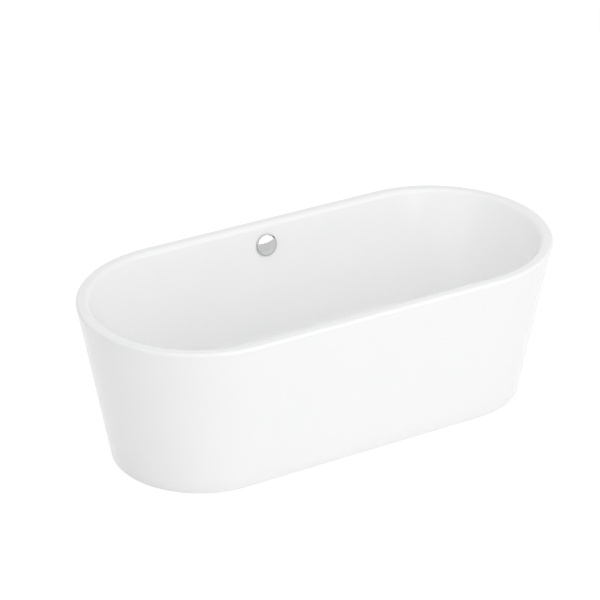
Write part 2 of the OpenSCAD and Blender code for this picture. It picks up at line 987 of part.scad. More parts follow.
// Body under the floor: it takes the waste and the overflow water and holds the lever
module waste_body() {
    cup_h = waste_top - waste_top_t - waste_foot - waste_cup_t;
    color("gainsboro")
        at_waste()
            difference() {
                union() {
                    translate([0, 0, waste_top - waste_top_t])
                        cylinder(r = waste_top_r, h = waste_top_t);
                    translate([0, 0, waste_foot])
                        cylinder(r = waste_cup_r, h = waste_top - waste_foot);
                    translate([0, 0, pipe_run_h])
                        rotate([-90, 0, 0])
                            cylinder(r = pipe_r, h = inlet_y);
                    translate([0, 0, drain_h])
                        rotate([0, -90, 0])
                            cylinder(r = drain_r, h = waste_joint_x);
                    translate([port_x, 0, sleeve_h])
                        rotate([-90, 0, 0])
                            cylinder(r = port_r, h = waste_cup_r + port_out);
                }
                difference() {
                    translate([0, 0, waste_foot + waste_cup_t])
                        cylinder(r = waste_cup_r - waste_cup_t, h = cup_h);
                    translate([0, 0, hub_foot])
                        cylinder(r = neck_r, h = waste_top - hub_foot);
                    for (side = [-1, 1])
                        translate([lever_arm, side * (lug_y + lug_w / 2), lever_h])
                            rotate([90, 0, 0])
                                translate([0, 0, -lug_w / 2])
                                    union() {
                                        cylinder(r = lug_r, h = lug_w);
                                        translate([0, -lug_r, 0])
                                            cube([waste_cup_r, 2 * lug_r, lug_w]);
                                    }
                }
                translate([0, 0, hub_foot - over])
                    cylinder(r = hub_r + thread_gap, h = waste_top - hub_foot + 2 * over);
                translate([0, waste_cup_r - waste_cup_t - 6, pipe_run_h])
                    rotate([-90, 0, 0])
                        cylinder(r = pipe_bore_r, h = inlet_y);
                translate([-waste_cup_r + waste_cup_t + 6, 0, drain_h])
                    rotate([0, -90, 0])
                        cylinder(r = drain_bore_r, h = waste_joint_x);
                translate([port_x, waste_cup_r - 12, sleeve_h])
                    rotate([-90, 0, 0])
                        cylinder(r = sleeve_r + run_gap, h = 30);
                translate([lever_arm, lug_y + lug_w + over, lever_h])
                    rotate([90, 0, 0])
                        cylinder(r = lever_pin_r, h = 2 * (lug_y + lug_w + over));
            }
}

// Lever that lifts the plug's stem
module lift_lever() {
    color("silver")
        translate([fitting_x + lever_arm, lever_w / 2, lever_h])
            rotate([90, 0, 0])
                rotate([0, 0, lever_tilt])
                    difference() {
                        union() {
                            cylinder(r = lug_r - 1.5, h = lever_w);
                            translate([-lever_arm, -2, 0])
                                cube([lever_arm + lever_tail, 4, lever_w]);
                            translate([-lever_arm, 0, 0])
                                cylinder(r = lever_nose_r, h = lever_w);
                        }
                        translate([0, 0, -over])
                            cylinder(r = lever_pin_r + run_gap, h = lever_w + 2 * over);
                    }
}

// Pin that the lever turns on
module lever_pin() {
    half = lug_y + lug_w;
    color("silver")
        translate([fitting_x + lever_arm, half, lever_h])
            rotate([90, 0, 0])
                cylinder(r = lever_pin_r, h = 2 * half);
}

// Chrome plug: a domed cap on a stem
module drain_plug() {
    color("silver")
        at_waste() {
            intersection() {
                translate([0, 0, plug_under])
                    cylinder(r = plug_r, h = plug_edge_t + plug_dome_t);
                translate([0, 0, plug_under + plug_edge_t + plug_dome_t - plug_dome_r])
                    sphere(r = plug_dome_r, $fn = 256);
            }
            translate([0, 0, stem_foot])
                cylinder(r = stem_r, h = plug_under - stem_foot + over);
        }
}

// Rubber ring under the cap
module plug_seal() {
    color("dimgray")
        at_waste()
            translate([0, 0, plug_under - plug_seal_t])
                tube(waste_hole_r + 6, waste_hole_r + 1, plug_seal_t);
}

// ---- Trap ----

// Bottle trap with a baffle that holds the water seal
module trap_body() {
    bore = trap_r - trap_t;
    color("white")
        translate([fitting_x - trap_x, 0, 0])
            difference() {
                union() {
                    translate([0, 0, trap_foot + trap_t + seat_gap])
                        cylinder(r = trap_r, h = trap_top - trap_foot - trap_t - seat_gap);
                    translate([0, 0, drain_h])
                        rotate([0, 90, 0])
                            cylinder(r = drain_r, h = trap_x - waste_joint_x);
                    translate([0, 0, drain_h])
                        rotate([0, -90, 0])
                            cylinder(r = drain_r, h = trap_joint_x - trap_x);
                }
                difference() {
                    translate([0, 0, trap_foot])
                        cylinder(r = bore, h = trap_top - trap_t - trap_foot);
                    translate([-trap_t / 2, -trap_r, baffle_foot])
                        cube([trap_t, 2 * trap_r, trap_top]);
                }
                translate([trap_t, 0, drain_h])
                    rotate([0, 90, 0])
                        cylinder(r = drain_bore_r, h = trap_x);
                translate([-trap_t, 0, drain_h])
                    rotate([0, -90, 0])
                        cylinder(r = drain_bore_r, h = trap_x);
            }
}

// Cup that screws off for cleaning
module trap_cup() {
    color("white")
        translate([fitting_x - trap_x, 0, trap_foot])
            rotate_extrude()
                polygon([
                    [0, 0], [trap_r + trap_t - 2, 0], [trap_r + trap_t, 2],
                    [trap_r + trap_t, cup_top - trap_foot],
                    [trap_r + thread_gap, cup_top - trap_foot], [trap_r + thread_gap, trap_t], [0, trap_t],
                ]);
}

// Slip nuts on the drain's joints
module trap_nuts() {
    half = pipe_nut_l / 2;
    color("dimgray")
        for (x = [waste_joint_x, trap_joint_x])
            translate([fitting_x + half - x, 0, drain_h])
                rotate([0, -90, 0])
                    tube(drain_r + drain_nut_wall, drain_r + thread_gap, pipe_nut_l);
}

// Pipe from the trap that bends down to the drain in the floor of the room.
// It has a slimmer neck under the nut.
module outlet_pipe() {
    neck = pipe_nut_l / 2;
    bend_x = outlet_x - outlet_bend_r;
    bend_z = drain_h - outlet_bend_r;
    color("white")
        at_waste() {
            translate([-trap_joint_x, 0, drain_h])
                rotate([0, -90, 0]) {
                    tube(drain_r - neck_step, drain_bore_r, neck);
                    translate([0, 0, neck])
                        tube(drain_r, drain_bore_r, bend_x - trap_joint_x - neck);
                }
            translate([-bend_x, 0, bend_z])
                rotate([90, 0, 0])
                    rotate([0, 0, 90])
                        rotate_extrude(angle = 90)
                            translate([outlet_bend_r, 0])
                                difference() {
                                    circle(drain_r);
                                    circle(drain_bore_r);
                                }
            translate([-outlet_x, 0, outlet_foot])
                tube(drain_r, drain_bore_r, bend_z - outlet_foot);
        }
}

tub_shell();
outer_skirt();
rim_batten();
base_board();
rail_front();
rail_back();
cross_bar_left();
cross_bar_right();
frame_bolts();
frame_nuts();
board_screws();
skirt_blocks();
weld_nuts();
lock_nuts();
foot_pad_1();
foot_pad_2();
foot_pad_3();
foot_pad_4();
foot_stud_1();
foot_stud_2();
foot_stud_3();
foot_stud_4();
overflow_gasket();
overflow_body();
overflow_seal();
overflow_plate();
overflow_screws();
overflow_knob();
knob_spindle();
cable_drum();
overflow_pipe();
pipe_nuts();
cable_sleeve();
waste_flange();
waste_gasket_top();
waste_gasket_bottom();
waste_body();
lift_lever();
lever_pin();
drain_plug();
plug_seal();
trap_body();
trap_cup();
trap_nuts();
outlet_pipe();
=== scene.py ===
# %% [markdown]
# # A freestanding bath
# The bath is two formed shells: a tub of cast acrylic sheet, drawn into a mould and backed with
# glass fibre, and an acrylic skirt round it that hides the frame, the feet and the drain.
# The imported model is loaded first, as the fixed frame that everything else is fitted to.

# %% Load the frame
import math

import bmesh
import bpy
import numpy as np
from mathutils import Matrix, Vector


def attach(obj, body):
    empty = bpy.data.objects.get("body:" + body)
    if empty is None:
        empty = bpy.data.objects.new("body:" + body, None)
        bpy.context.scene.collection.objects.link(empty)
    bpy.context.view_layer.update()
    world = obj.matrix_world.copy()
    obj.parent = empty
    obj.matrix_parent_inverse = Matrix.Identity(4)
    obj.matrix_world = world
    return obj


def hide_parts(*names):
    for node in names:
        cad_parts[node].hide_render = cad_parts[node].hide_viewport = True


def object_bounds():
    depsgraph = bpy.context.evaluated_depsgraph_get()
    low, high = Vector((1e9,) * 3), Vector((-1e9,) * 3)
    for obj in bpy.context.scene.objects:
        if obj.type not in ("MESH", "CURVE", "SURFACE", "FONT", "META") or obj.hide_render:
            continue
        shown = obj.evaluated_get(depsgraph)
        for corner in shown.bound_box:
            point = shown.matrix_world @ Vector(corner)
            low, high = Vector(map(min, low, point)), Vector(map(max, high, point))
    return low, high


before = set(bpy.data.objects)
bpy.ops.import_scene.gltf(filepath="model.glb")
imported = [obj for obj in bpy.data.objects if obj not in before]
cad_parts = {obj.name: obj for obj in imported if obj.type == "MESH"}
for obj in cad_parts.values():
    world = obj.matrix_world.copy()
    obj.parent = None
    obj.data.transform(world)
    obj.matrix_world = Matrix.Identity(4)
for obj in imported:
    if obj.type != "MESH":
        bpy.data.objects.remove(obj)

cad_low, cad_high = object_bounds()
print("nodes", len(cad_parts), "size", [round(v, 4) for v in cad_high - cad_low])

# %% [markdown]
# ## Real sizes
# The length, width and height come from the frame. The other values are the same ones that the
# bath's construction uses, in metres: how the rim is rolled, how the walls slope and how the floor
# is dished.

# %% Sizes of the bath
LENGTH = cad_high.x - cad_low.x
WIDTH = cad_high.y - cad_low.y
HEIGHT = cad_high.z - cad_low.z
RUN = (LENGTH - WIDTH) / 2
FOOT_INSET = 0.095
SHELL = 0.005
SKIRT_WALL = 0.004
RIM_OUT = 0.010
RIM_IN = 0.018
RIM_FLAT = 0.026
RIM_DROP = 0.014
SKIRT_GAP = 0.002
SKIRT_FLANGE = 0.022
SIDE_SLOPE = math.radians(10)
BACK_SLOPE = math.radians(22)
SIDE_COVE = 0.062
BACK_COVE = 0.140
FLOOR = 0.138
FLOOR_FALL = 0.004
FLOOR_RUN = 0.300
DISH = 0.190
FITTING_X = -0.011
OVERFLOW_DROP = 0.075

# The outer wall leans in towards its foot, tangent to the rim's outer edge
lean_run = FOOT_INSET - RIM_OUT
lean_rise = HEIGHT - RIM_OUT
LEAN = math.atan(lean_run / lean_rise) + math.asin(RIM_OUT / math.hypot(lean_run, lean_rise))
SKIRT_TOP = HEIGHT - RIM_DROP
RIM_ROUND = HEIGHT - RIM_IN
print("outer walls lean", round(math.degrees(LEAN), 2), "degrees")

# %% [markdown]
# ## Colours and nodes
# Colours are written as they are picked on a screen, as sRGB hex values, and the shader works in
# linear light, so one function converts them. Another adds a node with its settings and its links,
# which keeps each finish below down to a few lines.


# %% Helpers for finishes
def linear(code, alpha=1.0):
    """Linear RGBA of an sRGB hex colour: c / 12.92 near black, ((c + 0.055) / 1.055) ^ 2.4 above."""
    srgb = np.array([int(code[i : i + 2], 16) for i in (1, 3, 5)]) / 255
    low, high = srgb / 12.92, ((srgb + 0.055) / 1.055) ** 2.4
    return (*np.where(srgb <= 0.04045, low, high).tolist(), alpha)


def add(tree, kind, inputs=None, **fields):
    """Adds a node, sets its fields, and gives each input a value or a link from another socket."""
    node = tree.nodes.new(kind)
    for field, value in fields.items():
        setattr(node, field, value)
    for name, value in (inputs or {}).items():
        if isinstance(value, bpy.types.NodeSocket):
            tree.links.new(value, node.inputs[name])
        else:
            node.inputs[name].default_value = value
    return node


def new_finish(name, **inputs):
    """A material with one Principled shader, and its tree, shader and object coordinates."""
    made = bpy.data.materials.new(name)
    made.use_nodes = True
    tree = made.node_tree
    shader = tree.nodes["Principled BSDF"]
    for socket, value in inputs.items():
        shader.inputs[socket.replace("_", " ")].default_value = value
    place = add(tree, "ShaderNodeTexCoord").outputs["Object"]
    return made, tree, shader, place


def per_metre(millimetres):
    """Scale of a pattern whose features are this far apart."""
    return 1000.0 / millimetres


# The two colour inputs of a Mix node that blends colours, after its float and vector ones
MIX_A, MIX_B, MIX_OUT = 6, 7, 2


def two_tone(tree, shader, amount, first, second):
    """Colours the shader with a blend of two hex colours by the amount from a pattern."""
    tones = {"Factor": amount, MIX_A: linear(first), MIX_B: linear(second)}
    blend = add(tree, "ShaderNodeMix", tones, data_type="RGBA")
    tree.links.new(blend.outputs[MIX_OUT], shader.inputs["Base Color"])


def relief(tree, shader, height, depth_mm):
    """Raises the surface by a pattern's height, to a depth in millimetres."""
    bump = add(tree, "ShaderNodeBump", {"Height": height, "Distance": depth_mm / 1000, "Strength": 1.0})
    tree.links.new(bump.outputs["Normal"], shader.inputs["Normal"])


# %% [markdown]
# ## Cast acrylic, formed and polished
# Sanitary acrylic is a white cast sheet with a deep gloss. Drawing it into the mould leaves it very
# slightly wavy, which the eye only sees where a reflection bends. Its two whites differ by less
# than the eye can name, in patches as wide as a hand.

# %% Acrylic
acrylic, tree, shader, place = new_finish("acrylic_cast_polished", Roughness=0.16, IOR=1.49)
patches = add(tree, "ShaderNodeTexNoise", {"Vector": place, "Scale": per_metre(180), "Detail": 2.0})
two_tone(tree, shader, patches.outputs["Fac"], "#fbfbfa", "#f9fafa")
waves = add(tree, "ShaderNodeTexNoise", {"Vector": place, "Scale": per_metre(60), "Detail": 1.0})
relief(tree, shader, waves.outputs["Fac"], 0.02)
print("finish", acrylic.name)

# %% [markdown]
# ## Glass-fibre backing
# Under the acrylic, chopped strands of glass are sprayed on with resin and rolled flat. That gives
# a cream, half-clear surface with short strands in all directions. Strands are 25 to 50 mm long
# and far finer than can be drawn, so two stretched noises at an angle stand for them.

# %% Glass fibre
backing, tree, shader, place = new_finish("glass_fibre_sprayed_resin", Roughness=0.42, IOR=1.55)
strands = []
for turn in (0.5, 2.1):
    lay = {"Vector": place, "Rotation": (turn, turn / 2, turn), "Scale": (1, 8, 8)}
    along = add(tree, "ShaderNodeMapping", lay).outputs["Vector"]
    strand = add(tree, "ShaderNodeTexNoise", {"Vector": along, "Scale": per_metre(28), "Detail": 3.0})
    strands.append(strand.outputs["Fac"])
crossed = add(tree, "ShaderNodeMath", {0: strands[0], 1: strands[1]}, operation="MAXIMUM")
spread = {"Value": crossed.outputs[0], "From Min": 0.42, "From Max": 0.7}
contrast = add(tree, "ShaderNodeMapRange", spread)
two_tone(tree, shader, contrast.outputs["Result"], "#c9c3ae", "#e6e2d3")
relief(tree, shader, contrast.outputs["Result"], 0.5)
print("finish", backing.name)

# %% [markdown]
# ## Metals
# Chrome on brass is polished to a mirror, with only a breath of haze where it has been wiped.
# Zinc on the fasteners is duller and mottled by its crystals. The frame's tube is powder coated,
# which melts into a skin like orange peel, with dimples about a millimetre apart; they are drawn
# at two so that they show.

# %% Metals
chrome, tree, shader, place = new_finish("chrome_polished_on_brass", Metallic=1.0)
shader.inputs["Base Color"].default_value = linear("#e8e8e8")
haze = add(tree, "ShaderNodeTexNoise", {"Vector": place, "Scale": per_metre(9), "Detail": 3.0})
wiped = add(tree, "ShaderNodeMapRange", {"Value": haze.outputs["Fac"], "To Min": 0.035, "To Max": 0.085})
tree.links.new(wiped.outputs["Result"], shader.inputs["Roughness"])

# The satin ring's chrome is darker than the polished chrome as painted shade; its two tones vary at random
# with the turning
satin_and_shade, tree, shader, place = new_finish("chrome_satin_painted_shade", Metallic=1.0)
turning = add(tree, "ShaderNodeTexNoise", {"Vector": place, "Scale": per_metre(3), "Detail": 2.0})
two_tone(tree, shader, turning.outputs["Fac"], "#c2c2c2", "#cccccc")
grain = add(tree, "ShaderNodeMapRange", {"Value": turning.outputs["Fac"], "To Min": 0.26, "To Max": 0.34})
tree.links.new(grain.outputs["Result"], shader.inputs["Roughness"])

zinc, tree, shader, place = new_finish("steel_zinc_plated", Metallic=1.0, Roughness=0.34)
crystals = add(tree, "ShaderNodeTexVoronoi", {"Vector": place, "Scale": per_metre(2.5)})
two_tone(tree, shader, crystals.outputs["Distance"], "#b4b8bd", "#d2d4d6")
relief(tree, shader, crystals.outputs["Distance"], 0.02)

powder, tree, shader, place = new_finish("steel_powder_coated", Roughness=0.46, IOR=1.5)
peel = add(tree, "ShaderNodeTexNoise", {"Vector": place, "Scale": per_metre(2), "Detail": 1.0})
two_tone(tree, shader, peel.outputs["Fac"], "#2c2e31", "#37393c")
relief(tree, shader, peel.outputs["Fac"], 0.08)
print("finishes", chrome.name, satin_and_shade.name, zinc.name, powder.name)

# %% [markdown]
# ## Timber
# The board is moisture-proof chipboard: flakes of wood pressed in resin. The batten and the blocks
# are pine, with growth rings a few millimetres apart drawn out along the length.

# %% Timber
chipboard, tree, shader, place = new_finish("chipboard_pressed", Roughness=0.72)
flakes = add(tree, "ShaderNodeTexVoronoi", {"Vector": place, "Scale": per_metre(5), "Randomness": 1.0})
toned = add(tree, "ShaderNodeSeparateColor", {"Color": flakes.outputs["Color"]})
two_tone(tree, shader, toned.outputs["Red"], "#a5875c", "#cdb285")
relief(tree, shader, flakes.outputs["Distance"], 0.15)

pine, tree, shader, place = new_finish("pine_sawn", Roughness=0.66)
drawn = add(tree, "ShaderNodeMapping", {"Vector": place, "Scale": (0.06, 1.0, 1.0)})
rings = add(
    tree,
    "ShaderNodeTexWave",
    {"Vector": drawn.outputs["Vector"], "Scale": per_metre(14) / 4, "Distortion": 3.0, "Detail": 3.0},
    bands_direction="DIAGONAL",
)
two_tone(tree, shader, rings.outputs["Fac"], "#b98f58", "#dcbb86")
relief(tree, shader, rings.outputs["Fac"], 0.1)
print("finishes", chipboard.name, pine.name)

# %% [markdown]
# ## Plastics and rubber
# The pipes are extruded or moulded polypropylene, which has a soft satin skin. The bodies are ABS
# with a fine spark-eroded grain. The foot pads are nylon and the seals are EPDM rubber, both
# nearly black; rubber is the duller of the two. The dark glossy finish is painted reflection, for a
# dark reflection in the knob's chrome ring. Grain of a few tenths of a millimetre is drawn at one to two.


# %% Plastics and rubber
def moulded(name, first, second, roughness, grain_mm, depth_mm):
    """A moulded plastic: two close tones and a fine grain, both from one noise."""
    made, tree, shader, place = new_finish(name, Roughness=roughness, IOR=1.49)
    grain = add(tree, "ShaderNodeTexNoise", {"Vector": place, "Scale": per_metre(grain_mm), "Detail": 2.0})
    two_tone(tree, shader, grain.outputs["Fac"], first, second)
    relief(tree, shader, grain.outputs["Fac"], depth_mm)
    return made


white_pp = moulded("polypropylene_moulded_white", "#e6e6e2", "#efefec", 0.40, 1.6, 0.03)
grey_abs = moulded("abs_spark_eroded_grey", "#8b8f93", "#999da1", 0.48, 1.0, 0.05)
nylon = moulded("nylon_moulded_black", "#1b1b1c", "#27272a", 0.50, 1.2, 0.05)
rubber = moulded("epdm_rubber_black", "#141414", "#1e1e1e", 0.78, 1.5, 0.06)
# Painted reflection: a dark glossy finish that stands for a dark reflection on the knob's chrome ring
painted_reflection = moulded("painted_dark_reflection", "#333435", "#3d3e40", 0.30, 1.2, 0.01)
print("finishes", white_pp.name, grey_abs.name, nylon.name, rubber.name, painted_reflection.name)

# %% [markdown]
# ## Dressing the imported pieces
# Most pieces keep the shape that was packed and only change their finish.

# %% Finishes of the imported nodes
FEET = (1, 2, 3, 4)
DRESS = {
    acrylic: ["tub_shell", "outer_skirt"],
    chrome: ["overflow_knob", "waste_flange", "drain_plug", "overflow_plate"],
    zinc: ["frame_bolts", "frame_nuts", "board_screws", "weld_nuts", "lock_nuts", "overflow_screws"]
    + ["knob_spindle", "lift_lever", "lever_pin"]
    + [f"foot_stud_{k}" for k in FEET],
    powder: ["rail_front", "rail_back", "cross_bar_left", "cross_bar_right"],
    chipboard: ["base_board"],
    pine: ["rim_batten", "skirt_blocks"],
    white_pp: ["cable_drum", "overflow_pipe", "pipe_nuts", "trap_body", "trap_cup", "outlet_pipe"],
    grey_abs: ["overflow_body", "waste_body", "trap_nuts"],
    nylon: [f"foot_pad_{k}" for k in FEET] + ["cable_sleeve"],
    rubber: ["overflow_gasket", "overflow_seal", "waste_gasket_top", "waste_gasket_bottom", "plug_seal"],
}
for finish, names in DRESS.items():
    for name in names:
        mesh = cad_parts[name].data
        mesh.materials.clear()
        mesh.materials.append(finish)
dressed = sum(len(names) for names in DRESS.values())
print("dressed", dressed, "of", len(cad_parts))

# %% [markdown]
# ## Surfaces from grids
# Each new piece is a grid of points: rows of rings, joined to their neighbours by four-sided
# faces. One function turns such a grid into a mesh. It closes the grid where rows or columns come
# round again, merges the points that a pole gathers, and turns the faces to look outwards. It
# tells that from the sign of the enclosed volume, which is a sixth of the sum of the faces' triple
# products.


# %% Grid to piece
# Degrees between faces from which an edge is drawn sharp, on formed sheet and on turned metal
SHARP_FROM, TURNED_SHARP = 35, 30
# Metres within which two points are the same, and below which an edge has vanished
SAME_POINT, NO_EDGE = 1e-6, 1e-7


def piece_from(name, grid, finishes, row_finish=None, closed_rows=False, sharp=SHARP_FROM):
    """A mesh from points grid[row, column]; columns close on themselves, rows if they are a loop."""
    rows, columns = grid.shape[:2]
    bands = np.arange(rows if closed_rows else rows - 1)
    row, column = np.meshgrid(bands, np.arange(columns), indexing="ij")
    next_row, next_column = (row + 1) % rows, (column + 1) % columns
    corners = [(row, column), (row, next_column), (next_row, next_column), (next_row, column)]
    quads = np.stack([down * columns + along for down, along in corners], axis=-1).reshape(-1, 4)
    points = grid.reshape(-1, 3)
    p, q, r, s = (points[quads[:, k]] for k in range(4))
    volume = np.einsum("ij,ij->", p, np.cross(q, r)) + np.einsum("ij,ij->", p, np.cross(r, s))
    if volume < 0:
        quads = quads[:, ::-1]
    mesh = bpy.data.meshes.new(name)
    mesh.vertices.add(len(points))
    mesh.vertices.foreach_set("co", points.astype(np.float32).ravel())
    mesh.loops.add(quads.size)
    mesh.loops.foreach_set("vertex_index", quads.astype(np.int32).ravel())
    mesh.polygons.add(len(quads))
    mesh.polygons.foreach_set("loop_start", np.arange(0, quads.size, 4, dtype=np.int32))
    for finish in finishes:
        mesh.materials.append(finish)
    if row_finish is not None:
        mesh.polygons.foreach_set("material_index", np.repeat(row_finish, columns).astype(np.int32))
    mesh.update(calc_edges=True)
    mesh.validate()
    close_poles(mesh)
    mesh.shade_smooth()
    mesh.set_sharp_from_angle(angle=math.radians(sharp))
    made = bpy.data.objects.new(name, mesh)
    bpy.context.scene.collection.objects.link(made)
    print(name, "faces", len(mesh.polygons), "litres", round(abs(volume) / 6 * 1000, 3))
    return made


def close_poles(mesh):
    """Merges points that lie on each other, as at a pole, and drops the faces that vanish."""
    work = bmesh.new()
    work.from_mesh(mesh)
    bmesh.ops.remove_doubles(work, verts=work.verts, dist=SAME_POINT)
    bmesh.ops.dissolve_degenerate(work, edges=work.edges, dist=NO_EDGE)
    work.to_mesh(mesh)
    work.free()


# %% [markdown]
# ## The outline
# Seen from above, every ring of the bath is two straight sides joined by two round ends. A ring
# is described by how far its side and its end lie inside the rim, and by their heights. Where the
# two differ, the height glides from one to the other with the square of the sine, which starts
# and ends level.

# %% Outline of a ring
END_STEPS = 72
SIDE_STEPS = 24
quarter = np.linspace(-math.pi / 2, math.pi / 2, END_STEPS + 1)
straight = np.linspace(1, -1, SIDE_STEPS + 1)[1:-1]
right_end = np.stack([np.ones_like(quarter), np.cos(quarter), np.sin(quarter)])
back_side = np.stack([straight, np.zeros_like(straight), np.ones_like(straight)])
left_end = np.stack([-np.ones_like(quarter), -np.cos(quarter), -np.sin(quarter)])
front_side = np.stack([-straight, np.zeros_like(straight), -np.ones_like(straight)])
ALONG, ENDWAYS, SIDEWAYS = np.concatenate([right_end, back_side, left_end, front_side], axis=1)


def rings(side, end, half_run):
    """Points [ring, column] of the outline for side and end insets and heights, given as (u, z) rows.

    x = half_run * along + (length / 2 - end inset - half_run) * cos,
    y = (width / 2 - side inset) * sin, z = side z * sin^2 + end z * cos^2.
    """
    side, end = np.atleast_2d(side), np.atleast_2d(end)
    half = np.broadcast_to(half_run, len(side))[:, None]
    reach = LENGTH / 2 - end[:, :1] - half
    x = half * ALONG + reach * ENDWAYS
    y = (WIDTH / 2 - side[:, :1]) * SIDEWAYS
    z = side[:, 1:] * SIDEWAYS**2 + end[:, 1:] * ENDWAYS**2
    return np.stack([x, y, z], axis=-1)


def arc(u, z, radius, start, stop, steps):
    """Points of an arc in the profile: inset u + r cos, height z + r sin, angles in radians."""
    angle = np.linspace(start, stop, steps + 1)
    return np.stack([u + radius * np.cos(angle), z + radius * np.sin(angle)], axis=1)


def line(start, stop, steps):
    """Points evenly from one profile point to another."""
    return np.linspace(start, stop, steps + 1)


print("columns round the bath", len(ALONG))

# %% [markdown]
# ## The tub
# The sheet runs from the waste hole over the floor, up the walls, over the rim and back down its
# inner face, so the tub is one closed surface with the thickness of the sheet and its backing.
# Each wall's profile is the rim's inner rounding, a straight slope, and a cove into the floor. The
# sides are steep and the ends slope back for a bather, and the ends take over more of the length
# towards the floor.

# %% Profiles of the bowl
EDGE_STEPS, WALL_STEPS, COVE_STEPS = 12, 20, 20


def bowl(edge, slope, cove, level):
    """Profile from the rim down to the floor: an arc, a slope tangent to it, and a cove."""
    top = np.array([RIM_FLAT + edge * math.cos(slope), RIM_ROUND + edge * math.sin(slope)])
    foot_z = level + cove * (1 - math.sin(slope))
    foot = np.array([top[0] + (top[1] - foot_z) * math.tan(slope), foot_z])
    centre_u = foot[0] + cove * math.cos(slope)
    return np.concatenate(
        [
            arc(RIM_FLAT, RIM_ROUND, edge, math.pi / 2, slope, EDGE_STEPS),
            line(top, foot, WALL_STEPS)[1:],
            arc(centre_u, level + cove, cove, math.pi + slope, 1.5 * math.pi, COVE_STEPS)[1:],
        ]
    )


def bowl_surface(edge, grow, level):
    """Rings of one face of the bowl: half its straight run shrinks evenly with its depth."""
    side = bowl(edge, SIDE_SLOPE, SIDE_COVE + grow, level)
    end = bowl(edge, BACK_SLOPE, BACK_COVE + grow, level)
    sunk = np.clip((RIM_ROUND - side[:, 1]) / (RIM_ROUND - FLOOR), 0, 1)
    return rings(side, end, RUN - (RUN - FLOOR_RUN) * sunk)


def circles(radii, heights, angles):
    """Level circles round the waste: x = waste + r cos(a), y = r sin(a), at the given angles."""
    radii, heights = np.array(radii)[:, None], np.array(heights)[:, None]
    x, y = FITTING_X + radii * np.cos(angles), radii * np.sin(angles)
    return np.stack([x, y, np.broadcast_to(heights, x.shape)], axis=-1)


inside = bowl_surface(RIM_IN, 0, FLOOR)
outside = bowl_surface(RIM_IN - SHELL, SHELL, FLOOR - FLOOR_FALL - SHELL)
print("floor inside", [round(v * 2, 3) for v in inside[-1, :, :2].max(axis=0)])

# %% [markdown]
# The floor is flat outside a shallow dish, which falls a few millimetres to the waste. The waste's
# flange lies in a recess, and the sheet is thicker round the hole, where it is clamped. The lip
# folds over the outside of the rim and ends on the skirt.

# %% Tub
RECESS_DEPTH = 0.004
DISH_LOW = FLOOR - FLOOR_FALL
RECESS = DISH_LOW - RECESS_DEPTH
UNDER = DISH_LOW - SHELL
BOSS = RECESS - SHELL
WASTE_HOLE, WASTE_RECESS_R, BOSS_R = 0.026, 0.044, 0.052


def outer_inset(z):
    """Inset of the outer wall from the rim at a height: foot inset - z tan(lean)."""
    return FOOT_INSET - z * math.tan(LEAN)


to_inside = np.arctan2(inside[-1, :, 1], inside[-1, :, 0] - FITTING_X)
to_outside = np.arctan2(outside[-1, :, 1], outside[-1, :, 0] - FITTING_X)
hole = circles(
    [WASTE_HOLE, WASTE_HOLE, WASTE_RECESS_R, WASTE_RECESS_R, DISH],
    [BOSS, RECESS, RECESS, DISH_LOW, FLOOR],
    to_inside,
)
lip_foot = outer_inset(SKIRT_TOP)
lip_profile = np.concatenate(
    [
        arc(RIM_OUT, HEIGHT - RIM_OUT, RIM_OUT, math.pi / 2, math.pi + LEAN, EDGE_STEPS),
        [
            [lip_foot, SKIRT_TOP],
            [lip_foot + SKIRT_WALL, SKIRT_TOP],
            [lip_foot + SKIRT_WALL, HEIGHT - SHELL],
        ],
    ]
)
lip = rings(lip_profile, lip_profile, RUN)
boss = circles([BOSS_R, BOSS_R, WASTE_HOLE], [UNDER, BOSS, BOSS], to_outside)
tub_grid = np.concatenate([hole, inside[::-1], lip, outside, boss[:2]])
face_rows = len(hole) + len(inside) + EDGE_STEPS + 2
row_finish = (np.arange(len(tub_grid)) >= face_rows).astype(int)
tub = piece_from("tub_formed", tub_grid, [acrylic, backing], row_finish, closed_rows=True)

# %% [markdown]
# The overflow is drilled through the back wall, square to it. A cutter is a short drum along the
# wall's normal, and a Boolean takes it out of the tub. The wall is flat there, so the cut leaves
# its shading alone.

# %% Overflow hole
side_top_u = RIM_FLAT + RIM_IN * math.cos(SIDE_SLOPE)
side_top_z = RIM_ROUND + RIM_IN * math.sin(SIDE_SLOPE)
OVERFLOW_Z = HEIGHT - OVERFLOW_DROP
OVERFLOW_Y = WIDTH / 2 - (side_top_u + (side_top_z - OVERFLOW_Z) * math.tan(SIDE_SLOPE))
OUT = np.array([0, -math.cos(SIDE_SLOPE), math.sin(SIDE_SLOPE)])
UP = np.array([0, math.sin(SIDE_SLOPE), math.cos(SIDE_SLOPE)])
ACROSS = np.array([1.0, 0.0, 0.0])
OVERFLOW = np.array([FITTING_X, OVERFLOW_Y, OVERFLOW_Z])


def turned(profile, centre, axis, across, up, steps):
    """A profile of (radius, height) rows turned round an axis.

    Points are centre + r cos(a) across + r sin(a) up + h axis.
    """
    angle = np.linspace(0, 2 * math.pi, steps, endpoint=False)
    spoke = np.cos(angle)[:, None] * across + np.sin(angle)[:, None] * up
    profile = np.asarray(profile, float)
    return centre + profile[:, :1, None] * spoke[None] + profile[:, 1:, None] * axis


